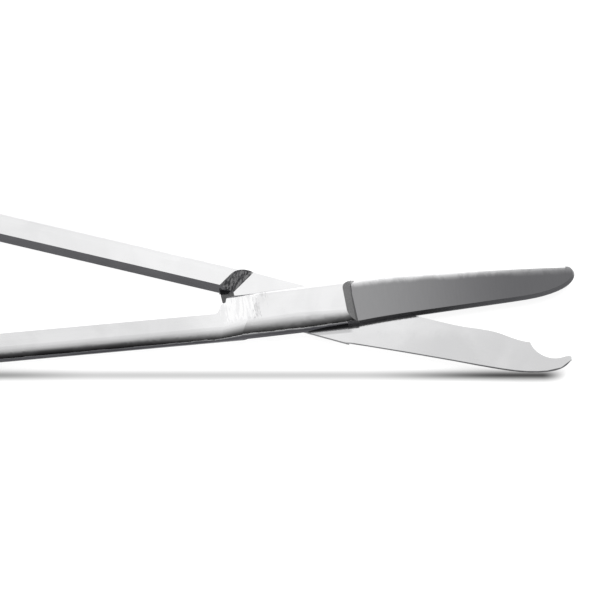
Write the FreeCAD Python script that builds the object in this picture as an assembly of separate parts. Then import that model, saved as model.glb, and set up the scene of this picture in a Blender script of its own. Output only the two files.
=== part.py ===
import FreeCAD, Part
import math
import os

# Suture scissors, one frame, millimetres.
# Z = 0 is the table, the pivot stands on the Z axis, +X runs between the two
# blades towards the tips and +Y is the side of the plain blade's back.
# Each half is drawn lying along X with its joint face at z = 0, its shank on
# the -y side and its blade back on the +y side, then laid in place.

V = FreeCAD.Vector

# Driving sizes of both halves
TOTAL_LENGTH = 145.0        # ring end to plain tip, closed
TIP_REACH = 50.8            # pivot to plain tip
REST_OPENING = 20.6         # angle between the halves as drawn, degrees
FACE_GAP = 0.02             # joint face held back from the middle plane

# Joint box
CROWN = 2.6                 # joint face to the top of the box
BOX_END_BACK = 3.8          # pivot line to the box's side behind, on the blade back's side
BOX_BACK = 4.1              # the same at the pivot
BOX_EDGE = 4.9              # pivot line to the box's side on the shank's side, at the pivot
BOX_ROUND = 2.9             # width of its rounding on the shank's side
BOX_TAIL = 0.2              # box starts this far behind the shoulder's corner
FACET_BACK_X = 12.8         # foot of the filed facet, behind the pivot, on the blade back's side
FACET_EDGE_X = 14.6         # the same on the shank's side
RIDGE_BACK_X = 6.3          # top of that facet, on the blade back's side
RIDGE_EDGE_X = 11.0         # the same on the shank's side

# Shank
SHANK_THICK = 3.3
SHANK_INNER = 0.3           # closed: half the slit between the shanks
SHANK_OUTER = 5.2
SHANK_ROUND = 2.2           # width of the outer side's rounding

# Finger ring, a four-centred oval of thick wire
RING_HOLE_LONG = 24.0
RING_HOLE_WIDE = 21.0
RING_WIRE = 4.1
RING_TILT = 14.0            # degrees, rear end outwards
RING_BLUNT = 0.63           # bluntness of the oval's ends, 0 for pointed
RING_HIGH = 5.5             # wire's height before its flats are ground
SINK = 0.6                  # how far the shank's end reaches either side of the wire's middle
RING_BLEND = 6.0            # sweep of the outer wall into the ring
NECK_HIGH = 4.3             # shank's thickness where it enters the ring

# Shoulder: the step from full thickness to the joint face
SHOULDER_TOP_X = 15.0       # behind the pivot, at the shank's inner wall
SHOULDER_RUN = 2.3          # length of the hollow slope
SHOULDER_ANGLE = 63.0       # direction of the step across the shank, degrees
SHOULDER_GAP = 0.3          # to the other half's box end when closed

# Blade
BLADE_START = 9.85          # pivot to the foot of the step in front of the box
STEP_SLOPE = 37.0           # slope of that step, degrees
STEP_SKEW = 0.3             # how much further forward its foot lies at the cutting edge
BLADE_THICK = 1.45          # at its start, along the back
EDGE_THICK = 1.25           # at its start, along the edge
TIP_THICK = 1.15
BLADE_BACK = 4.5            # pivot line to the blade's back at its start
BLADE_EDGE = 4.58           # pivot line to its cutting edge there
BACK_ROUND = 2.4            # width of the rounding along the back
EDGE_LAND = 0.3             # flat left under the bevel along the cutting edge
EDGE_SLOPE = 0.4            # bevel: run inwards over rise

# Pivot screw
SCREW_SHAFT = 3.0
SCREW_HEAD = 5.2
HEAD_SEAT = 1.1             # joint face to the underside of the head
HEAD_THICK = 0.95
SLOT_WIDE = 0.7
SLOT_DEEP = 0.45
SLOT_TURN = 35.0            # direction of the slot as drawn, degrees
RUN_CLEAR = 0.03            # radial, screw in the hooked half
HEAD_CLEAR = 0.06           # radial, head in its counterbore
THREAD_REACH = 1.9          # screw end above the joint face, in the plain half

HALF = SHANK_THICK / 2.0
FAR = 2.0 * TOTAL_LENGTH    # beyond everything, for cutters


def box(x0, x1, y0, y1, z0, z1):
    return Part.makeBox(x1 - x0, y1 - y0, z1 - z0, V(x0, y0, z0))


def prism(points, z0, z1):
    wire = Part.makePolygon([V(x, y, z0) for x, y in points] + [V(points[0][0], points[0][1], z0)])
    return Part.Face(wire).extrude(V(0, 0, z1 - z0))


def blade_x(share):
    # From the start of the blade to its tip.
    return BLADE_START + share * (TIP_REACH - BLADE_START)


def spline(points):
    curve = Part.BSplineCurve()
    curve.interpolate([V(x, y, 0) for x, y in points])
    return curve.toShape()


def segment(a, b):
    return Part.LineSegment(a, b).toShape()


def line(a, b):
    return segment(V(a[0], a[1], 0), V(b[0], b[1], 0))


def rounding(a, b, corner):
    # Quarter of an ellipse from a to b that bulges towards the corner.
    pull = 0.5523
    curve = Part.BezierCurve()
    curve.setPoles([a, a + (corner - a) * pull, b + (corner - b) * pull, b])
    return curve.toShape()


def ring_radii(grow):
    # Half length and half width of the finger hole, grown outwards, with the
    # radii of the arcs at its ends and along its sides.
    a = RING_HOLE_LONG / 2.0 + grow
    b = RING_HOLE_WIDE / 2.0 + grow
    ends = b - RING_BLUNT * (a - b)
    sides = b + (a - b) * ((1 + RING_BLUNT) ** 2 - RING_BLUNT ** 2) / (2 * RING_BLUNT)
    return a, b, ends, sides


def ring_centre():
    # The ring's inner side lines up with the shank's inner wall, and its far
    # end makes the total length.
    a, b, ends, sides = ring_radii(0)
    lean = math.cos(math.radians(RING_TILT))
    reach_x = (a - ends) * lean + ends + RING_WIRE
    reach_y = sides - (sides - b) * lean + RING_WIRE
    return V(TIP_REACH - TOTAL_LENGTH + reach_x, -SHANK_INNER - 0.05 - reach_y, 0)


def ring_arcs(centre):
    # Middle, first direction and turn of each of the four arcs of the oval.
    a, b, ends, sides = ring_radii(0)
    tilt = math.radians(RING_TILT)
    corner = math.atan2(sides - b, a - ends) if abs(a - b) > 0.001 else math.pi / 4
    arcs = []
    for quarter in range(4):
        at_end = quarter % 2 == 0
        facing = tilt + quarter * math.pi / 2
        reach = a - ends if at_end else b - sides
        spread = corner if at_end else math.pi / 2 - corner
        middle = centre + V(math.cos(facing), math.sin(facing), 0) * reach
        arcs.append((middle, facing - spread, 2 * spread, ends if at_end else sides))
    return arcs


def direction(angle):
    return V(math.cos(angle), math.sin(angle), 0)


def ring_oval(grow, centre):
    # Edge of the finger hole, grown outwards: a four-centred oval.
    edges = []
    for middle, first, turn, radius in ring_arcs(centre):
        points = [middle + direction(first + turn * k / 2.0) * (radius + grow) for k in range(3)]
        edges.append(Part.Arc(*points).toShape())
    return Part.Wire(edges)


def wire_profile(middle, out):
    # Section of the ring's wire: rounded inside and outside, with narrow
    # flats above and below to lie on.
    half_wide = RING_WIRE / 2.0
    half_straight = RING_HIGH / 2.0 - half_wide
    flat = math.sqrt(half_wide ** 2 - (CROWN - half_straight) ** 2)
    edges = []
    for side, up in ((1, 1), (-1, 1), (-1, -1), (1, -1)):
        heart = middle + V(0, 0, half_straight * up)
        lean = (half_wide + flat) / 2.0
        bulge = math.sqrt(half_wide ** 2 - lean ** 2)
        ends = [heart + out * half_wide * side, heart + out * lean * side + V(0, 0, bulge * up),
                heart + out * flat * side + V(0, 0, (CROWN - half_straight) * up)]
        edges.append(Part.Arc(*ends).toShape())
    for side in (1, -1):
        foot = middle + out * half_wide * side
        edges.append(segment(foot - V(0, 0, half_straight), foot + V(0, 0, half_straight)))
        top = middle + V(0, 0, CROWN * side)
        edges.append(segment(top - out * flat, top + out * flat))
    return Part.Face(Part.Wire(Part.__sortEdges__(edges)))


def ring(centre):
    body = None
    for middle, first, turn, radius in ring_arcs(centre):
        out = direction(first)
        profile = wire_profile(middle + out * (radius + RING_WIRE / 2.0), out)
        piece = profile.revolve(middle, V(0, 0, 1), math.degrees(turn))
        body = piece if body is None else body.fuse(piece)
    return body.removeSplitter()


def shank_section(inner, outer, high):
    # Flat inner wall and faces, half-round outer side, from a point on the
    # inner wall to one on the outer side.
    wide = outer - inner
    along = V(wide.x, wide.y, 0)
    along.normalize()
    turn = outer - along * SHANK_ROUND
    up = V(0, 0, high)
    return Part.Wire([
        segment(inner - up, inner + up),
        segment(inner + up, turn + up),
        rounding(turn + up, outer, outer + up),
        rounding(outer, turn - up, outer - up),
        segment(turn - up, inner - up),
    ])


def touching_circle(centre, grow):
    # Middle of the circle that touches the shank's outer wall and the ring.
    oval = ring_oval(grow, centre)
    y = -SHANK_OUTER - RING_BLEND
    low = centre.x
    high = centre.x + 2.0 * RING_HOLE_LONG + RING_BLEND
    for step in range(40):
        x = (low + high) / 2.0
        inside = x < centre.x + RING_HOLE_LONG / 2.0
        if inside or Part.Vertex(V(x, y, 0)).distToShape(oval)[0] < RING_BLEND:
            low = x
        else:
            high = x
    touch = Part.Vertex(V(high, y, 0)).distToShape(oval)[1][0][1]
    return V(high, y, 0), math.atan2(high - touch.x, touch.y - y)


def shank(centre):
    # Straight bar, then a neck that grows thicker: its outer wall sweeps out
    # into the ring and its inner wall sinks into the ring's wire.
    middle = RING_WIRE / 2.0
    turn, sweep = touching_circle(centre, middle + SINK)
    inner_wall = V(turn.x, -SHANK_INNER, 0)
    outer_wall = V(turn.x, -SHANK_OUTER, 0)
    sunk = V(centre.x + RING_WIRE * 0.3, -SHANK_INNER - middle - SINK / 2.0, 0)
    path = Part.BezierCurve()
    lead = RING_WIRE * 1.6
    path.setPoles([inner_wall, inner_wall - V(lead, 0, 0), sunk + V(lead * 0.9, lead * 0.25, 0), sunk])
    stations = []
    count = 5
    for k in range(count + 1):
        s = k / float(count)
        bend = sweep * s
        out = turn + V(-math.sin(bend), math.cos(bend), 0) * RING_BLEND
        ease = s * s * (3 - 2 * s)
        high = (SHANK_THICK + (NECK_HIGH - SHANK_THICK) * ease) / 2.0
        stations.append(shank_section(path.value(s), out, high))
    neck = Part.makeLoft(stations, True, False)
    bar = Part.Face(stations[0]).extrude(V(-SHOULDER_TOP_X - BOX_TAIL - turn.x, 0, 0))
    hole_side = Part.Face(ring_oval(middle - SINK, centre))
    hole_side.translate(V(0, 0, -FAR))
    neck = neck.cut(hole_side.extrude(V(0, 0, 2 * FAR)))
    # below the joint face the bar runs on to the shoulder
    section = Part.Face(shank_section(V(-SHOULDER_TOP_X - BOX_TAIL, -SHANK_INNER, 0),
                                      V(-SHOULDER_TOP_X - BOX_TAIL, -SHANK_OUTER, 0), HALF))
    lower = section.extrude(V(SHOULDER_TOP_X / 2.0, 0, 0)).common(box(-FAR, FAR, -FAR, FAR, -FAR, 0))
    return bar.fuse([neck, lower])


def half_space(a, b, c, up):
    # A big block on one side of the plane through a, b and c.
    normal = (b - a).cross(c - a)
    normal.normalize()
    if normal.z < 0:
        normal = normal * -1
    face = Part.makePlane(FAR, FAR, a, normal)
    face.translate(a - face.CenterOfMass)
    return face.extrude(normal * (FAR if up else -FAR))


def shoulder_tool():
    # What the shoulder leaves free in front of it, below the joint face: a
    # hollow slope from the inner wall's corner up to the joint face.
    t = math.radians(SHOULDER_ANGLE)
    across = V(-math.cos(t), math.sin(t), 0)
    front = V(math.sin(t), math.cos(t), 0)
    reach = 2.0 * TIP_REACH
    foot = V(-SHOULDER_TOP_X, -SHANK_INNER, 0) - across * reach

    def at(u, z):
        return foot + front * u + V(0, 0, z)

    hollow = Part.Arc(at(0, -HALF), at(SHOULDER_RUN * 0.54, -HALF * 0.42), at(SHOULDER_RUN, FACE_GAP)).toShape()
    wire = Part.Wire([
        hollow,
        segment(at(SHOULDER_RUN, FACE_GAP), at(reach, FACE_GAP)),
        segment(at(reach, FACE_GAP), at(reach, -FAR)),
        segment(at(reach, -FAR), at(0, -FAR)),
        segment(at(0, -FAR), at(0, -HALF)),
    ])
    return Part.Face(wire).extrude(across * 2.0 * reach)


def box_end_tool():
    # Room for the other half's shoulder when closed: its slope, turned over
    # and held off by the shoulder gap.
    t = math.radians(SHOULDER_ANGLE)
    across = V(-math.cos(t), -math.sin(t), 0)
    front = V(math.sin(t), -math.cos(t), 0)
    foot = V(-SHOULDER_TOP_X, SHANK_INNER, 0) + across * SHANK_INNER
    clear = SHOULDER_RUN + SHOULDER_GAP
    points = [(-FAR, -HALF), (clear, -HALF), (clear, 0), (SHOULDER_GAP, HALF), (SHOULDER_GAP, FAR), (-FAR, FAR)]
    corners = [foot + front * u + V(0, 0, z) for u, z in points]
    wire = Part.makePolygon(corners + [corners[0]])
    return Part.Face(wire).extrude(across * -FAR)


def box_section(back, edge, high, edge_round):
    # Upright cut through the box from its back side to its shank side, both
    # rounded down to the joint face.
    along = edge - back
    along.normalize()
    up = V(0, 0, high)
    back_turn = back + along * BACK_ROUND
    edge_turn = edge - along * edge_round
    return Part.Wire([
        rounding(back, back_turn + up, back + up),
        segment(back_turn + up, edge_turn + up),
        rounding(edge_turn + up, edge, edge + up),
        segment(edge, back),
    ])


def joint_box():
    tail = -SHOULDER_TOP_X - BOX_TAIL
    front = BLADE_START + BLADE_THICK / 2.0
    sections = [
        box_section(V(tail, BOX_END_BACK, 0), V(tail, -SHANK_OUTER, 0), HALF, SHANK_ROUND),
        box_section(V(-FACET_BACK_X, BOX_END_BACK, 0), V(-FACET_EDGE_X, -SHANK_OUTER, 0), HALF, SHANK_ROUND),
        box_section(V(-RIDGE_BACK_X, BOX_END_BACK, 0), V(-RIDGE_EDGE_X, -SHANK_OUTER, 0), CROWN, BOX_ROUND),
        box_section(V(0, BOX_BACK, 0), V(0, -BOX_EDGE, 0), CROWN, BOX_ROUND),
        box_section(V(front, BLADE_BACK, 0), V(front, -BLADE_EDGE, 0), CROWN, SHANK_ROUND),
    ]
    body = Part.makeLoft(sections, True, True)
    # hand-filed rear corner, from the inner wall to the blade back's side
    corner = [(0.17, 0.35), (0.47, 0.49), (0.53, 0.76), (0.62, 0.92), (0.84, 1.0)]
    plan = [(tail, -SHANK_INNER)]
    plan += [(-SHOULDER_TOP_X + u * BOX_END_BACK, v * BOX_END_BACK) for u, v in corner]
    plan += [(plan[-1][0], FAR), (FAR, FAR), (FAR, -FAR), (tail, -FAR)]
    body = body.common(prism(plan, -CROWN, 2 * CROWN))
    # the step down to the blade
    rise = math.tan(math.radians(STEP_SLOPE)) * CROWN
    foot = V(BLADE_START, 0, BLADE_THICK)
    body = body.cut(half_space(foot, foot + V(STEP_SKEW, -BLADE_EDGE, 0), foot + V(-CROWN, 0, rise), True))
    return body.cut(box_end_tool())


def swept(path, section):
    # Cutter swept along a curve in the joint face.
    sweep = Part.BRepOffsetAPI.MakePipeShell(Part.Wire([path]))
    sweep.setBiNormalMode(V(0, 0, 1))
    sweep.add(Part.Wire(section))
    sweep.build()
    sweep.makeSolid()
    tool = sweep.shape()
    if tool.Volume < 0:
        tool.reverse()
    return tool


def start_frame(path, outward):
    # Point on the path at its start, as a function of the distance outwards
    # from the blade and of the height.
    first = path.valueAt(path.FirstParameter)
    along = path.tangentAt(path.FirstParameter)
    out = V(along.y, -along.x, 0) * outward

    def at(u, z):
        return first + out * u + V(0, 0, z)

    return at


def bevel_tool(path):
    # Wedge along the cutting edge: leaves a thin land and a slope.
    rise = BLADE_THICK + 0.2
    at = start_frame(path, 1)
    low = at(0.3, EDGE_LAND - 0.3 / EDGE_SLOPE)
    inner = at(-rise * EDGE_SLOPE, EDGE_LAND + rise)
    high = at(0.3, EDGE_LAND + rise)
    return swept(path, [segment(low, inner), segment(inner, high), segment(high, low)])


def back_tool(path):
    # What the quarter-round back leaves free.
    at = start_frame(path, -1)
    low = at(0, 0)
    inner = at(-BACK_ROUND, BLADE_THICK)
    corner = at(0, BLADE_THICK)
    above = at(-BACK_ROUND, BLADE_THICK + 1)
    outside = at(1, BLADE_THICK + 1)
    under = at(1, 0)
    return swept(path, [rounding(low, inner, corner), segment(inner, above), segment(above, outside),
                        segment(outside, under), segment(under, low)])


def finish_blade(back, edge, others):
    # Flat blade, thinner towards the tip, with a rounded back and a ground
    # bevel along its edge.
    back_curve = spline(back)
    edge_curve = spline(edge)
    pieces = [line(edge[0], back[0]), back_curve, edge_curve] + others
    outline = Part.Wire(Part.__sortEdges__(pieces))
    outline.translate(V(0, 0, FACE_GAP))
    body = Part.Face(outline).extrude(V(0, 0, 2 * BLADE_THICK))
    a = V(BLADE_START, BLADE_BACK, BLADE_THICK)
    b = V(BLADE_START, -BLADE_EDGE, EDGE_THICK)
    c = V(TIP_REACH, 0, TIP_THICK)
    body = body.cut(half_space(a, b, c, True))
    return body.cut(back_tool(back_curve)).cut(bevel_tool(edge_curve))


def outline_points(shares, width):
    # Points given as shares of the blade's length and of a width.
    return [(blade_x(u), v * width) for u, v in shares]


def plain_blade():
    back = outline_points([(0, 1), (0.2, 1.055), (0.394, 1.005), (0.687, 0.907), (0.963, 0.767)], BLADE_BACK)
    edge = outline_points([(0, -1), (0.431, -0.699), (0.7, -0.557), (0.822, -0.459), (0.922, -0.229),
                           (0.983, 0.12), (0.999, 0.437), (0.99, 0.655)], BLADE_EDGE)
    return finish_blade(back, edge + [back[-1]], [])


def hooked_blade():
    # The edge ends in a dip; beyond it a round notch leaves a beak that
    # lifts the stitch.
    back = outline_points([(0, 1), (0.267, 0.81), (0.485, 0.682), (0.702, 0.556), (0.809, 0.422),
                           (0.897, 0.189), (0.954, -0.089), (0.984, -0.467)], BLADE_BACK)
    beak = outline_points([(0.988, -0.6), (0.982, -0.699), (0.966, -0.677), (0.941, -0.546), (0.893, -0.428),
                           (0.849, -0.496), (0.81, -0.699), (0.792, -0.9)], BLADE_EDGE)
    edge = outline_points([(0, -1), (0.15, -0.895), (0.346, -0.88), (0.492, -0.906), (0.651, -0.982),
                           (0.7, -0.917), (0.792, -0.9)], BLADE_EDGE)
    return finish_blade(back + [beak[0]], edge, [spline(beak)])


def half(blade_shape, pivot_hole):
    centre = ring_centre()
    keep = joint_box().cut(pivot_hole)
    body = shank(centre).fuse([keep, blade_shape, ring(centre)])
    return body.cut(shoulder_tool()).removeSplitter()


def hole(*steps):
    # Stepped hole on the pivot axis: radius, bottom and top of each step.
    tool = None
    for radius, low, high in steps:
        step = Part.makeCylinder(radius, high - low, V(0, 0, low))
        tool = step if tool is None else tool.fuse(step)
    return tool.removeSplitter()


def placed(body, angle, turned_over):
    if turned_over:
        body.rotate(V(0, 0, 0), V(1, 0, 0), 180)
    body.rotate(V(0, 0, 0), V(0, 0, 1), angle)
    body.translate(V(0, 0, CROWN))
    return body


def pivot_screw():
    # Slotted flat head sunk in the hooked half, plain shaft through it, end
    # screwed into the blind hole of the plain half.
    under = CROWN - HEAD_SEAT - FACE_GAP
    head = Part.makeCylinder(SCREW_HEAD / 2.0, HEAD_THICK, V(0, 0, under - HEAD_THICK))
    rim = [e for e in head.Edges if e.Length > 5 and abs(e.BoundBox.ZMax - under + HEAD_THICK) < 0.01]
    head = head.makeChamfer(0.12, rim)
    shaft = Part.makeCylinder(SCREW_SHAFT / 2.0, CROWN + THREAD_REACH - under + 0.2, V(0, 0, under - 0.2))
    slot = box(-SCREW_HEAD, SCREW_HEAD, -SLOT_WIDE / 2.0, SLOT_WIDE / 2.0, under - HEAD_THICK - 1,
               under - HEAD_THICK + SLOT_DEEP)
    slot.rotate(V(0, 0, 0), V(0, 0, 1), SLOT_TURN)
    return head.fuse(shaft).cut(slot).removeSplitter()


plain = half(plain_blade(), hole((SCREW_SHAFT / 2.0, -1, THREAD_REACH + 0.05)))
hooked = half(hooked_blade(), hole((SCREW_SHAFT / 2.0 + RUN_CLEAR, -1, HEAD_SEAT + 0.1),
                                   (SCREW_HEAD / 2.0 + HEAD_CLEAR, HEAD_SEAT, CROWN + 1)))

nodes = {
    "plain_half": placed(plain, REST_OPENING / 2.0, False),
    "hooked_half": placed(hooked, -REST_OPENING / 2.0, True),
    "pivot_screw": pivot_screw(),
}

os.makedirs("parts", exist_ok=True)
for name, shape in nodes.items():
    shape.exportStep(os.path.join("parts", name + ".step"))
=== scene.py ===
"""Suture scissors: the finishes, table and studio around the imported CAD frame, in metres."""
import bpy
import math
from mathutils import Matrix, Vector

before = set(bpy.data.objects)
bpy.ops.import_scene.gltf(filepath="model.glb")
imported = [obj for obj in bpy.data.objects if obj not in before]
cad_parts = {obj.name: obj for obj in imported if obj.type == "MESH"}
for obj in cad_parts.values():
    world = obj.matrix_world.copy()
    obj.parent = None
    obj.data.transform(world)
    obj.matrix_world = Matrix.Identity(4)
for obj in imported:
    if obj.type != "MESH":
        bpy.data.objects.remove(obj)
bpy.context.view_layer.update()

MM = 0.001
PIVOT_HEIGHT = 2.6 * MM          # middle plane of the joint above the table
HALF_TURN = math.radians(10.3)   # each half's own length axis, from the row's +X

# The photograph's view, square and from above
PICTURE = 600                        # pixels each way
PIVOT_RIGHT = 299                    # the pivot's pixel, from the left
PIVOT_DOWN = 309                     # the same from the top
PIXEL = 0.182 * MM
CAMERA_TILT = math.radians(27.5)     # from straight down
CAMERA_TURN = math.radians(4.45)     # picture's right, from the row's +X
LENS = 280.0
SENSOR = 36.0
NEAREST = 0.01
FARTHEST = 50

# Light tent as the metal sees it: degrees from straight up, towards the front, and level
STUDIO_ARCH = (
    (-180, 0.06), (-150, 0.10), (-112, 0.80), (-95, 0.95), (-30, 1.00), (10, 0.68), (36, 0.34),
    (58, 0.12), (80, 0.03), (106, 0.016), (132, 0.12), (152, 0.055), (180, 0.06),
)
# The same tent from side to side: sine of the angle towards +X, and level
STUDIO_SIDES = (
    (-1.0, 0.08), (-0.90, 0.10), (-0.74, 0.85), (-0.66, 1.0), (0.52, 1.0), (0.66, 0.45), (0.77, 0.12),
    (0.87, 0.03), (1.0, 0.02),
)
FRONT_SIDES_LEVEL = 0.92             # the sides in front of the object, where they aren't dark
FRONT_SIDES_DEPTH = (0.07, -0.03)    # smooth step to them, sine of the angle towards the back
CORNER_SIDE = (0.42, 0.62)           # strip lights at the front corners: where they start to a side
CORNER_ANGLE = (28, 52)              # and towards the front, degrees from straight up
LEFT_CORNER_HIGH = (0.42, 0.54)      # sine of the height at which the left one starts
RIGHT_CORNER_HIGH = (-0.02, 0.14)    # and the right one
LEFT_TO_RIGHT = (-0.1, 0.1)
CORNER_LEVEL = (0.0, 0.8)
ROOM_LEVEL = 0.5                     # what rays other than camera, glossy and transmission bring

LAMP_WIDE = 1.2
LAMP_DEEP = 1.0
LAMP_POWER = 14
LAMP_PLACE = (0, 0.25, 1.1)
LAMP_TILT = math.radians(-12)

# Table, and the soft shade line on it: mm from the pivot along the picture's right and its depth
TABLE_REACH = 3.0
TABLE_DROP = 0.02 * MM
TABLE_GLOW = 0.86
TABLE_DIFFUSE = 0.28
SHADE_ACROSS = -12.18
SHADE_WIDE = 1.02
SHADE_DEPTH = 0.46
SHADE_BLADE_ALONG = (10, 38)
SHADE_BLADE_DEEPER = (0.0, 0.46)
SHADE_SHANK_ALONG = (-36, -56)
SHADE_SHANK_DEEPER = (0.0, 0.22)
SHADE_LEFT_END = (-66, -57)
SHADE_RIGHT_END = (49.6, 44.0)

# Where each blade's back runs, in its own half's axes: along and across, mm
PLAIN_BACK = (
    (9.85, 4.50), (14, 4.66), (18.04, 4.75), (22, 4.66), (25.98, 4.52), (37.98, 4.08), (49.28, 3.45),
)
HOOKED_BACK = (
    (9.85, -4.50), (20.8, -3.65), (29.7, -3.07), (34.5, -2.80), (38.6, -2.50), (41, -2.25),
    (43.0, -1.90), (45, -1.40), (46.6, -0.85), (48.9, 0.40), (50.1, 2.10),
)

# In the finishes each pair holds the start and end of a smooth step. ALONG, ACROSS and HIGH are
# mm from the pivot in the half's own axes. UP, SIDE and AHEAD say how far the surface faces along
# the row's Z, Y and X. LEVEL is the grey at the two ends of the step, or one grey, in places painted
# shade or a painted highlight.

# Both halves: flanks of shank and box, and of the hooked blade, painted dark as shade
FLANK_UP = (0.62, 0.42)
FLANK_UNDER = (-0.62, -0.42)
RING_TO_SHANK_ALONG = (-66, -62)

# Plain half: shank and box, with painted shade on the outer rounding
PLAIN_SHANK_ALONG = (-26, -15)
PLAIN_SHANK_LEVEL = (0.80, 0.90)
ROUNDING_UP = (0.97, 0.80)
ROUNDING_SIDE = (-0.15, -0.35)
ROUNDING_LOSS = 0.78
ROUNDING_SHADE_SHANK_FRONT_ALONG = (-8, -34)
ROUNDING_SHADE_SHANK_REAR_ALONG = (-80, -66)
ROUNDING_SHADE_BOX_ALONG = (-2, 10)
ROUNDING_SHADE_BOX_SHARE = (0.0, 0.45)
RIM_ALONG = (-6, 0)
RIM_UP = (0.02, 0.16)

# Plain half: filed facets, and painted shade along the ridge in front of them
FACET_RAGGED = 7.0
FACET_SLANT = -0.3
FACET_REAR_ALONG = (-14.6, -13.8)
FACET_FRONT_ALONG = (-7.6, -8.2)
FACET_SIDE_RAGGED = 5.0
FACET_SIDE_ACROSS = (-2.9, -2.3)
FILED_TONE = (0.75, 0.2)
FILED_LEVEL = 0.90
FILED_CHANGE = 0.10
RIDGE_REAR_ALONG = (-8.2, -7.7)
RIDGE_FRONT_ALONG = (-6.4, -7.4)
RIDGE_TONE = (0.9, 0.3)
RIDGE_SHADE_LEVEL = 0.70
FACET_BUMP = 3.0

# Plain half: satin blade, painted shade to the point and on the bevel, painted highlight on the margin
SATIN_HIGH = (1.60, 1.52)
SATIN_START_ALONG = (8.4, 8.6)
SATIN_ALONG = (8, 42)
SATIN_AND_SHADE_LEVEL = (0.34, 0.155)
SATIN_ROUGH = 0.36
MARGIN_INWARDS = (2.2, 0.1)
MARGIN_RAGGED = 0.25
MARGIN_ALONG = (20, 48)
MARGIN_HIGHLIGHT_LEVEL = (1.0, 0.40)
BEVEL_SIDE = (-0.12, -0.25)
BEVEL_HIGH = (0.0, 0.1)
BEVEL_SHADE_LEVEL = 0.085
BEVEL_CHANGE = 0.03
BEVEL_ROUGH = 0.46

# Hooked half: shank, box and ground blade
HOOKED_SHANK_ALONG = (-55, -15)
HOOKED_SHANK_LEVEL = (0.86, 0.95)
HOOKED_BOX_ALONG = (-2, 8)
GROUND_ALONG = (10, 30)
GROUND_LEVEL = (0.83, 0.712)

# Hooked half: painted highlight along the cutting edge, and a fine line of painted shade along the back
EDGE_START = -2.9
EDGE_RISE = 0.205
EDGE_RAGGED = 4.0
EDGE_MARGIN_INWARDS = (-2.2, 0.2)
EDGE_MARGIN_FRONT_ALONG = (36, 30)
EDGE_MARGIN_REAR_ALONG = (8, 12)
EDGE_HIGHLIGHT_GAIN = 0.045
BREAK_WIDE = (0.26, 0.12)
BREAK_ALONG = (9, 12)
BREAK_SHADE_LEVEL = 0.13

# Hooked half: painted shade beside the other half's box, in that half's axes
BOX_SHADE_OUTER_ACROSS = (-5.9, -5.5)
BOX_SHADE_INNER_ACROSS = (-3.0, -4.0)
BOX_SHADE_REAR_ALONG = (-1.0, 3.0)
BOX_SHADE_FRONT_ALONG = (9.6, 8.6)
BOX_SHADE_LEVEL = 0.58

# Hooked half: hollow shoulder, painted dark as shade
SHOULDER_UP = (0.97, 0.90)
SHOULDER_AHEAD = (0.3, 0.45)
SHOULDER_REAR_ALONG = (-17, -16.5)
SHOULDER_FRONT_ALONG = (-10, -10.5)
SHOULDER_SHADE_LEVEL = 0.07
SHOULDER_CHANGE = 0.30
SHOULDER_ROUGH = 0.16
SHOULDER_BUMP = 18.0

# Pivot screw
SCREW_LEVEL = 0.66
SCREW_RINGS = 14.0
SLOT_HIGH = (-2.04, -1.96)
SLOT_SHADE_SHARE = (1.0, 0.55)


# Node helpers

def put(tree, kind, inputs=None, **settings):
    """Add one node, set its settings, and fill or link its inputs."""
    node = tree.nodes.new("ShaderNode" + kind)
    for key, value in settings.items():
        setattr(node, key, value)
    fill(tree, node, inputs or {})
    return node


def fill(tree, node, inputs):
    """Link each input that is a socket, and set each that is a plain value."""
    for key, value in inputs.items():
        if isinstance(value, bpy.types.NodeSocket):
            tree.links.new(value, node.inputs[key])
        else:
            node.inputs[key].default_value = value


def calc(tree, operation, first, second=0.0, third=None):
    """One step of arithmetic on numbers."""
    inputs = {0: first, 1: second}
    if third is not None:
        inputs[2] = third
    return put(tree, "Math", inputs, operation=operation).outputs[0]


def times(tree, first, *others):
    """Product of all the numbers."""
    for other in others:
        first = calc(tree, "MULTIPLY", first, other)
    return first


def vary(tree, by, change, base):
    """base + change * by."""
    return calc(tree, "MULTIPLY_ADD", by, change, base)


def ragged(tree, value, noise, reach):
    """value + reach * (noise - 0.5), which makes a straight border ragged."""
    return vary(tree, noise, reach, calc(tree, "ADD", value, -reach / 2))


def band(tree, value, start, end, low=0.0, high=1.0):
    """Smooth step from low at start to high at end."""
    node = put(tree, "MapRange", {"Value": value, "From Min": start, "From Max": end,
                                  "To Min": low, "To Max": high}, interpolation_type="SMOOTHSTEP")
    return node.outputs[0]


def stops_ramp(tree, value, stops):
    """Number at given places on a line, from 0 to 1, straight between them."""
    low = stops[0][0]
    span = stops[-1][0] - low
    place = put(tree, "MapRange", {"Value": value, "From Min": low, "From Max": low + span}).outputs[0]
    node = put(tree, "ValToRGB", {0: place})
    elements = node.color_ramp.elements
    for end in (0, 1):
        level = stops[-end][1]
        elements[end].position = end
        elements[end].color = (level, level, level, 1)
    for where, level in stops[1:-1]:
        stop = elements.new((where - low) / span)
        stop.color = (level, level, level, 1)
    return put(tree, "SeparateColor", {0: node.outputs[0]}).outputs[0]


def curve(tree, value, points):
    """Number that follows straight runs between points."""
    low = min(level for where, level in points)
    span = max(level for where, level in points) - low
    share = stops_ramp(tree, value, [(where, (level - low) / span) for where, level in points])
    return vary(tree, share, span, low)


def blend(tree, factor, first, second):
    """Mix two numbers."""
    return put(tree, "Mix", {0: factor, 2: first, 3: second}, data_type="FLOAT").outputs[0]


def blend_colour(tree, factor, first, second):
    """Mix two colours."""
    return put(tree, "Mix", {0: factor, 6: first, 7: second}, data_type="RGBA").outputs[2]


def grey(tree, level, blue=0.0):
    """Colour of one level, with a little more blue if asked."""
    if blue:
        blue_level = calc(tree, "ADD", level, blue)
    else:
        blue_level = level
    return put(tree, "CombineColor", {0: level, 1: level, 2: blue_level}).outputs[0]


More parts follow.
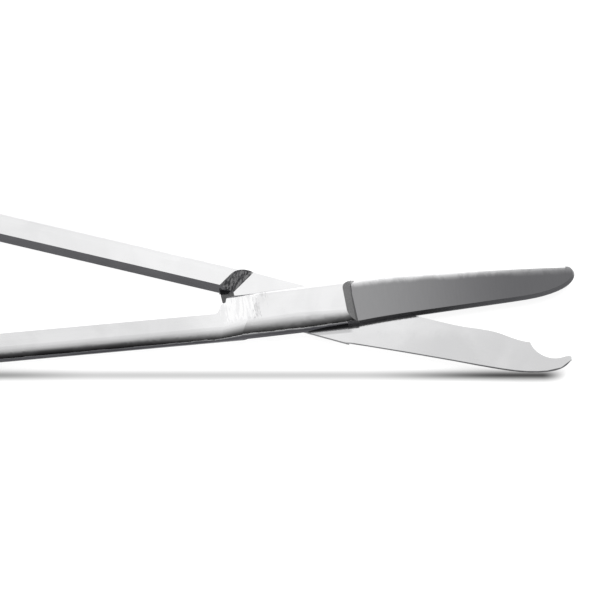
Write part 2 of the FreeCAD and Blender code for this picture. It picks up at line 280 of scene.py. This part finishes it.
def own_axes(tree, turn):
    """Place in millimetres from the pivot, turned so that X runs along the half and Y across it."""
    place = put(tree, "TexCoord").outputs["Object"]
    turned = put(tree, "Mapping", {"Vector": place, "Rotation": (0, 0, -turn),
                                   "Scale": (1 / MM, 1 / MM, 1 / MM),
                                   "Location": (0, 0, -PIVOT_HEIGHT / MM)}).outputs[0]
    return turned, put(tree, "SeparateXYZ", {0: turned}).outputs


def facing(tree):
    """How far the surface faces along the row's X, Y and Z."""
    return put(tree, "SeparateXYZ", {0: put(tree, "TexCoord").outputs["Normal"]}).outputs


def new_group(name, takes, gives):
    """Empty shader group with named numbers and vectors in and out."""
    group = bpy.data.node_groups.new(name, "ShaderNodeTree")
    for label, kind, default in takes:
        socket = group.interface.new_socket(label, in_out="INPUT", socket_type="NodeSocket" + kind)
        if default is not None:
            socket.default_value = default
    for label in gives:
        group.interface.new_socket(label, in_out="OUTPUT", socket_type="NodeSocketFloat")
    return group, group.nodes.new("NodeGroupInput"), group.nodes.new("NodeGroupOutput")


def use_group(tree, group, inputs):
    """Place a group in a material with its own values."""
    node = tree.nodes.new("ShaderNodeGroup")
    node.node_tree = group
    fill(tree, node, inputs)
    return node.outputs


# Surface effects that the finishes share

def polishing_lines_group():
    """Fine lines left by the wheel: noise drawn out along one axis, in two widths."""
    group, given, made = new_group(
        "polishing_lines",
        [("Place", "Vector", None), ("Along", "Float", 0.15), ("Across", "Float", 9.0)],
        ["Tone", "Height"])
    along = given.outputs["Along"]
    across = given.outputs["Across"]
    wide = put(group, "CombineXYZ", {0: along, 1: across, 2: across}).outputs[0]
    place = put(group, "VectorMath", {0: given.outputs["Place"], 1: wide}, operation="MULTIPLY").outputs[0]
    coarse = put(group, "TexNoise", {"Vector": place, "Scale": 0.45, "Detail": 2.0}).outputs[0]
    fine = put(group, "TexNoise", {"Vector": place, "Scale": 2.2, "Detail": 3.0, "Roughness": 0.6}).outputs[0]
    coarse_share = 0.6
    tone = vary(group, coarse, coarse_share, times(group, fine, 1 - coarse_share))
    group.links.new(tone, made.inputs["Tone"])
    group.links.new(fine, made.inputs["Height"])
    return group


def hand_marks_group():
    """Soft clouds of tone where the surface was handled and buffed by hand."""
    group, given, made = new_group(
        "hand_marks", [("Place", "Vector", None), ("Size", "Float", 0.12)], ["Tone"])
    cloud = put(group, "TexNoise", {"Vector": given.outputs["Place"], "Scale": given.outputs["Size"],
                                    "Detail": 3.0, "Distortion": 0.6}).outputs[0]
    group.links.new(band(group, cloud, 0.35, 0.65), made.inputs["Tone"])
    return group


def satin_grain_group():
    """Fine matt grain of a blade that was glass-blasted and brushed once."""
    group, given, made = new_group("satin_grain", [("Place", "Vector", None)], ["Tone", "Height"])
    place = given.outputs["Place"]
    grain = put(group, "TexNoise", {"Vector": place, "Scale": 14.0, "Detail": 2.0}).outputs[0]
    drawn = put(group, "VectorMath", {0: place, 1: (3.0, 0.35, 1.0)}, operation="MULTIPLY").outputs[0]
    brushed = put(group, "TexNoise", {"Vector": drawn, "Scale": 1.0, "Detail": 3.0}).outputs[0]
    tone = vary(group, grain, 0.5, times(group, brushed, 0.5))
    group.links.new(tone, made.inputs["Tone"])
    group.links.new(grain, made.inputs["Height"])
    return group


def filing_group():
    """Hand-file strokes: short ridges that run one way, with ragged ends."""
    group, given, made = new_group(
        "filing", [("Place", "Vector", None), ("Stroke", "Vector", (3.0, 0.5, 0.5))], ["Tone", "Height"])
    place = put(group, "VectorMath", {0: given.outputs["Place"], 1: given.outputs["Stroke"]},
                operation="MULTIPLY").outputs[0]
    strokes = put(group, "TexNoise", {"Vector": place, "Scale": 1.0, "Detail": 4.0, "Roughness": 0.65,
                                      "Distortion": 0.4}).outputs[0]
    group.links.new(band(group, strokes, 0.42, 0.60), made.inputs["Tone"])
    group.links.new(strokes, made.inputs["Height"])
    return group


# Finishes

def new_material(name):
    """Metal material with its Principled shader."""
    material = bpy.data.materials.new(name)
    material.use_nodes = True
    tree = material.node_tree
    shader = tree.nodes["Principled BSDF"]
    shader.inputs["Metallic"].default_value = 1
    return material, tree, shader


def finish(tree, shader, level, rough, height):
    """Feed the shader with steel of a level, a trace cooler than neutral, and fine relief."""
    tree.links.new(grey(tree, level, blue=0.006), shader.inputs["Base Color"])
    tree.links.new(rough, shader.inputs["Roughness"])
    bump = put(tree, "Bump", {"Strength": 0.25, "Distance": 0.02 * MM, "Height": height})
    tree.links.new(bump.outputs[0], shader.inputs["Normal"])


def hand_tone(tree, lines, marks, streak, cloud):
    """streak * (lines - 0.5) - cloud * marks."""
    return vary(tree, marks["Tone"], -cloud, vary(tree, lines["Tone"], streak, -streak / 2))


def polished_rough(tree, lines):
    """Roughness of a polished face, which its lines raise a little."""
    return vary(tree, lines["Tone"], 0.08, 0.07)


def painted_shade_flank_mask(tree, along, up):
    """1 on all flanks in front of the ring, painted dark as shade; 0 on faces and on the polished ring."""
    return times(tree, band(tree, up, *FLANK_UP), band(tree, up, *FLANK_UNDER),
                 band(tree, along, *RING_TO_SHANK_ALONG))


def plain_half_steel(groups):
    """Polished forging with filed facets behind the box and a satin blade."""
    material, tree, shader = new_material("polished_and_satin_steel")
    place, (x, y, z) = own_axes(tree, HALF_TURN)
    _, side, up = facing(tree)
    lines = use_group(tree, groups["lines"], {"Place": place})
    marks = use_group(tree, groups["marks"], {"Place": place})
    grain = use_group(tree, groups["grain"], {"Place": place})
    strokes = use_group(tree, groups["filing"], {"Place": place, "Stroke": (1.1, 0.35, 0.35)})
    brushed = use_group(tree, groups["filing"], {"Place": place, "Stroke": (0.35, 0.15, 0.15)})
    teeth = use_group(tree, groups["filing"], {"Place": place, "Stroke": (2.0, 0.25, 0.25)})

    # The shank is a little greyer than the box.
    shank = band(tree, x, *PLAIN_SHANK_ALONG, *PLAIN_SHANK_LEVEL)
    polished = calc(tree, "ADD", shank, hand_tone(tree, lines, marks, streak=0.05, cloud=0.05))

    # The outer rounding is painted darker than the faces as shade, except behind the box where it
    # turns down. The flank below it is painted dark as shade.
    rim = blend(tree, band(tree, x, *RIM_ALONG), band(tree, up, *RIM_UP), 1.0)
    shank_share = times(tree, band(tree, x, *ROUNDING_SHADE_SHANK_FRONT_ALONG),
                        band(tree, x, *ROUNDING_SHADE_SHANK_REAR_ALONG))
    box_share = band(tree, x, *ROUNDING_SHADE_BOX_ALONG, *ROUNDING_SHADE_BOX_SHARE)
    painted_shade_rounding = times(tree, band(tree, up, *ROUNDING_UP), rim, band(tree, side, *ROUNDING_SIDE),
                 calc(tree, "MAXIMUM", shank_share, box_share), vary(tree, marks["Tone"], -0.2, 1.0))
    polished = times(tree, polished, vary(tree, painted_shade_rounding, -ROUNDING_LOSS, 1.0))
    polished = blend(tree, painted_shade_flank_mask(tree, x, up), polished, vary(tree, marks["Tone"], -0.02, 0.08))

    # The facets were filed by hand: bright ragged flats between the shank and the box, with
    # greyer strokes in them and painted shade along the ridge before the box.
    rear = ragged(tree, x, strokes["Height"], FACET_RAGGED)
    front = vary(tree, y, FACET_SLANT, rear)
    outer = band(tree, ragged(tree, y, teeth["Height"], FACET_SIDE_RAGGED), *FACET_SIDE_ACROSS)
    facet = times(tree, band(tree, rear, *FACET_REAR_ALONG), band(tree, front, *FACET_FRONT_ALONG), outer)
    filed = vary(tree, band(tree, teeth["Tone"], *FILED_TONE), FILED_CHANGE, FILED_LEVEL)
    polished = blend(tree, facet, polished, filed)
    ridge = times(tree, band(tree, front, *RIDGE_REAR_ALONG), band(tree, front, *RIDGE_FRONT_ALONG),
                  band(tree, teeth["Tone"], *RIDGE_TONE), outer)
    polished = blend(tree, ridge, polished, RIDGE_SHADE_LEVEL)

    # The satin blade is painted darker towards the point as shade, with a painted highlight along its
    # rounded back and painted shade on the ground bevel along the cutting edge.
    satin = band(tree, x, *SATIN_ALONG, *SATIN_AND_SHADE_LEVEL)
    satin = times(tree, satin, vary(tree, grain["Tone"], 0.16, 0.92))
    inwards = calc(tree, "SUBTRACT", curve(tree, x, PLAIN_BACK), y)
    inwards = vary(tree, brushed["Tone"], MARGIN_RAGGED, inwards)
    # Painted highlight along the rounded back
    margin = band(tree, x, *MARGIN_ALONG, *MARGIN_HIGHLIGHT_LEVEL)
    satin = blend(tree, band(tree, inwards, *MARGIN_INWARDS), satin, margin)
    # Ground bevel painted dark as shade
    bevel = times(tree, band(tree, side, *BEVEL_SIDE), band(tree, z, *BEVEL_HIGH))
    satin = blend(tree, bevel, satin, vary(tree, grain["Tone"], BEVEL_CHANGE, BEVEL_SHADE_LEVEL))
    blade = times(tree, band(tree, z, *SATIN_HIGH), band(tree, x, *SATIN_START_ALONG))

    level = blend(tree, blade, polished, satin)
    rough = blend(tree, blade, polished_rough(tree, lines), blend(tree, bevel, SATIN_ROUGH, BEVEL_ROUGH))
    height = blend(tree, blade, lines["Height"], grain["Height"])
    height = blend(tree, facet, height, times(tree, strokes["Height"], FACET_BUMP))
    finish(tree, shader, level, rough, height)
    return material


def hooked_half_steel(groups):
    """Polished forging with a file-cut hollow shoulder and a finely ground inner face on the blade."""
    material, tree, shader = new_material("polished_and_ground_steel")
    place, (x, y, _) = own_axes(tree, -HALF_TURN)
    ahead, _, up = facing(tree)
    lines = use_group(tree, groups["lines"], {"Place": place})
    marks = use_group(tree, groups["marks"], {"Place": place})
    strokes = use_group(tree, groups["filing"], {"Place": place, "Stroke": (3.2, 0.55, 3.2)})
    wave = use_group(tree, groups["filing"], {"Place": place, "Stroke": (0.5, 0.25, 0.25)})

    shank = band(tree, x, *HOOKED_SHANK_ALONG, *HOOKED_SHANK_LEVEL)
    ground = band(tree, x, *GROUND_ALONG, *GROUND_LEVEL)
    level = blend(tree, band(tree, x, *HOOKED_BOX_ALONG), shank, ground)
    level = calc(tree, "ADD", level, hand_tone(tree, lines, marks, streak=0.04, cloud=0.045))

    # A ragged margin along the blade's ground edge is painted brighter as a highlight.
    inwards = vary(tree, x, -EDGE_RISE, calc(tree, "ADD", y, -EDGE_START))
    inwards = ragged(tree, inwards, wave["Height"], EDGE_RAGGED)
    margin = times(tree, band(tree, inwards, *EDGE_MARGIN_INWARDS),
                   band(tree, x, *EDGE_MARGIN_FRONT_ALONG), band(tree, x, *EDGE_MARGIN_REAR_ALONG))
    level = blend(tree, margin, level, calc(tree, "ADD", level, EDGE_HIGHLIGHT_GAIN))

    # The edge break along the blade's back is painted as a fine dark line of shade.
    inwards = calc(tree, "SUBTRACT", y, curve(tree, x, HOOKED_BACK))
    line = times(tree, band(tree, inwards, *BREAK_WIDE), band(tree, x, *BREAK_ALONG))
    level = blend(tree, line, level, BREAK_SHADE_LEVEL)

    # Painted shade beside the other half's box
    _, (along, across, _) = own_axes(tree, HALF_TURN)
    box_shade = times(tree, band(tree, across, *BOX_SHADE_OUTER_ACROSS), band(tree, across, *BOX_SHADE_INNER_ACROSS),
                band(tree, along, *BOX_SHADE_REAR_ALONG), band(tree, along, *BOX_SHADE_FRONT_ALONG))
    level = blend(tree, box_shade, level, BOX_SHADE_LEVEL)

    # The flanks are painted dark as shade.
    level = blend(tree, painted_shade_flank_mask(tree, x, up), level, vary(tree, marks["Tone"], -0.015, 0.055))

    # File strokes lie in the hollow shoulder, which slopes down towards the box and is painted dark as shade.
    shoulder = times(tree, band(tree, up, *SHOULDER_UP), band(tree, ahead, *SHOULDER_AHEAD),
                     band(tree, x, *SHOULDER_REAR_ALONG), band(tree, x, *SHOULDER_FRONT_ALONG))
    level = blend(tree, shoulder, level, vary(tree, strokes["Tone"], SHOULDER_CHANGE, SHOULDER_SHADE_LEVEL))
    rough = blend(tree, shoulder, polished_rough(tree, lines), SHOULDER_ROUGH)
    height = blend(tree, shoulder, lines["Height"], times(tree, strokes["Height"], SHOULDER_BUMP))
    finish(tree, shader, level, rough, height)
    return material


def screw_steel(groups):
    """Turned screw head: fine rings round its centre, with painted shade in the slot."""
    material, tree, shader = new_material("turned_screw_steel")
    place, (x, y, z) = own_axes(tree, 0.0)
    radius = calc(tree, "SQRT", calc(tree, "ADD", times(tree, x, x), times(tree, y, y)))
    spun = put(tree, "CombineXYZ", {0: times(tree, radius, SCREW_RINGS), 1: z, 2: 0.0}).outputs[0]
    rings = put(tree, "TexNoise", {"Vector": spun, "Scale": 1.0, "Detail": 2.0}).outputs[0]
    marks = use_group(tree, groups["marks"], {"Place": place, "Size": 0.9})
    level = vary(tree, marks["Tone"], -0.06, vary(tree, rings, 0.10, SCREW_LEVEL))
    # The slot is painted greyer as shade.
    level = times(tree, level, band(tree, z, *SLOT_HIGH, *SLOT_SHADE_SHARE))
    finish(tree, shader, level, vary(tree, rings, 0.12, 0.16), rings)
    return material


# Camera, studio and table

def make_camera():
    """Long lens at the photograph's angle, aimed so that the pivot falls on its pixel."""
    distance = PICTURE * PIXEL * LENS / SENSOR
    right = Vector((math.cos(CAMERA_TURN), math.sin(CAMERA_TURN), 0))
    depth = Vector((-right.y, right.x, 0))
    back = -depth * math.sin(CAMERA_TILT) + Vector((0, 0, math.cos(CAMERA_TILT)))
    up = back.cross(right)
    aim = Vector((0, 0, PIVOT_HEIGHT))
    aim += right * (PICTURE / 2 - PIVOT_RIGHT) * PIXEL
    aim += up * (PIVOT_DOWN - PICTURE / 2) * PIXEL
    data = bpy.data.cameras.new("camera")
    data.lens = LENS
    data.sensor_width = SENSOR
    data.clip_start = NEAREST
    data.clip_end = FARTHEST
    camera = bpy.data.objects.new("camera", data)
    camera.matrix_world = Matrix((right, up, back)).transposed().to_4x4()
    camera.location = aim + back * distance
    bpy.context.scene.collection.objects.link(camera)
    bpy.context.scene.camera = camera


def shiny_ray(tree, path):
    """1 for what metal and glass see."""
    return calc(tree, "MAXIMUM", path["Is Glossy Ray"], path["Is Transmission Ray"])


def make_world():
    """White room with a light tent for the metal.

    Camera rays see plain white. Glossy and transmission rays see the tent: the same white
    above and behind, which falls to a dark front and dark far sides. Other rays bring one
    plain soft level.
    """
    world = bpy.data.worlds.new("light_tent")
    bpy.context.scene.world = world
    world.use_nodes = True
    tree = world.node_tree
    tree.nodes.clear()
    path = put(tree, "LightPath").outputs
    x, y, z = put(tree, "SeparateXYZ", {0: put(tree, "TexCoord").outputs["Generated"]}).outputs
    angle = calc(tree, "DEGREES", calc(tree, "ARCTAN2", times(tree, y, -1.0), z))
    arch = stops_ramp(tree, angle, STUDIO_ARCH)
    sides = stops_ramp(tree, x, STUDIO_SIDES)

    # The sides are dark only behind the object, and strip lights stand at the front corners.
    sides = blend(tree, band(tree, y, *FRONT_SIDES_DEPTH), sides, FRONT_SIDES_LEVEL)
    high = blend(tree, band(tree, x, *LEFT_TO_RIGHT), band(tree, z, *LEFT_CORNER_HIGH, *CORNER_LEVEL),
                 band(tree, z, *RIGHT_CORNER_HIGH, *CORNER_LEVEL))
    corner = times(tree, band(tree, calc(tree, "ABSOLUTE", x), *CORNER_SIDE),
                   band(tree, angle, *CORNER_ANGLE), high)
    tent = grey(tree, calc(tree, "MAXIMUM", times(tree, arch, sides), corner))

    room = (ROOM_LEVEL, ROOM_LEVEL, ROOM_LEVEL, 1)
    seen = blend_colour(tree, shiny_ray(tree, path), room, tent)
    seen = blend_colour(tree, path["Is Camera Ray"], seen, (1, 1, 1, 1))
    background = put(tree, "Background", {"Color": seen})
    put(tree, "OutputWorld", {"Surface": background.outputs[0]})


def white_table():
    """Pale table that glows towards camera and metal, with one soft shade line.

    The line darkens the white by depth(along) * exp(-(offset / width) squared) across the
    table. From below the table is clear, so that the underside can be looked at.
    """
    material = bpy.data.materials.new("white_table")
    material.use_nodes = True
    tree = material.node_tree
    tree.nodes.remove(tree.nodes["Principled BSDF"])
    _, (x, y, _) = own_axes(tree, CAMERA_TURN)
    deeper = calc(tree, "ADD", band(tree, x, *SHADE_BLADE_ALONG, *SHADE_BLADE_DEEPER),
                  band(tree, x, *SHADE_SHANK_ALONG, *SHADE_SHANK_DEEPER))
    depth = times(tree, calc(tree, "ADD", deeper, SHADE_DEPTH),
                  times(tree, band(tree, x, *SHADE_LEFT_END), band(tree, x, *SHADE_RIGHT_END)))
    offset = calc(tree, "DIVIDE", calc(tree, "SUBTRACT", y, SHADE_ACROSS), SHADE_WIDE)
    fall = calc(tree, "EXPONENT", times(tree, offset, offset, -1.0))
    colour = grey(tree, calc(tree, "SUBTRACT", 1.0, times(tree, depth, fall)))

    paint = blend_colour(tree, 1 - TABLE_DIFFUSE, colour, (0, 0, 0, 1))
    path = put(tree, "LightPath").outputs
    seen = calc(tree, "MAXIMUM", path["Is Camera Ray"], shiny_ray(tree, path))
    diffuse = put(tree, "BsdfDiffuse", {"Color": paint}).outputs[0]
    glow = put(tree, "Emission", {"Color": colour, "Strength": times(tree, seen, TABLE_GLOW)}).outputs[0]
    table = put(tree, "AddShader", {0: diffuse, 1: glow}).outputs[0]
    clear = put(tree, "BsdfTransparent").outputs[0]
    under = put(tree, "NewGeometry").outputs["Backfacing"]
    shown = put(tree, "MixShader", {0: under, 1: table, 2: clear}).outputs[0]
    tree.links.new(shown, tree.nodes["Material Output"].inputs["Surface"])
    return material


def make_table():
    """Square table just under the object, which is no part of it."""
    reach = TABLE_REACH
    mesh = bpy.data.meshes.new("table")
    corners = [(-reach, -reach, 0), (reach, -reach, 0), (reach, reach, 0), (-reach, reach, 0)]
    mesh.from_pydata(corners, [], [(0, 1, 2, 3)])
    mesh.materials.append(white_table())
    table = bpy.data.objects.new("table", mesh)
    table.location = (0, 0, -TABLE_DROP)
    bpy.context.scene.collection.objects.link(table)


def make_lamp():
    """Softbox above and a little behind, which the metal doesn't mirror."""
    data = bpy.data.lights.new("softbox", "AREA")
    data.shape = "RECTANGLE"
    data.size = LAMP_WIDE
    data.size_y = LAMP_DEEP
    data.energy = LAMP_POWER
    lamp = bpy.data.objects.new("softbox", data)
    lamp.location = LAMP_PLACE
    lamp.rotation_euler = (LAMP_TILT, 0, 0)
    lamp.visible_glossy = False
    bpy.context.scene.collection.objects.link(lamp)


make_camera()
make_world()
make_table()
make_lamp()
groups = {
    "lines": polishing_lines_group(),
    "marks": hand_marks_group(),
    "grain": satin_grain_group(),
    "filing": filing_group(),
}
finishes = {
    "plain_half": plain_half_steel(groups),
    "hooked_half": hooked_half_steel(groups),
    "pivot_screw": screw_steel(groups),
}
for name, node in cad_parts.items():
    for slot in node.material_slots:
        slot.material = finishes[name]
bpy.context.scene.view_settings.view_transform = "Standard"
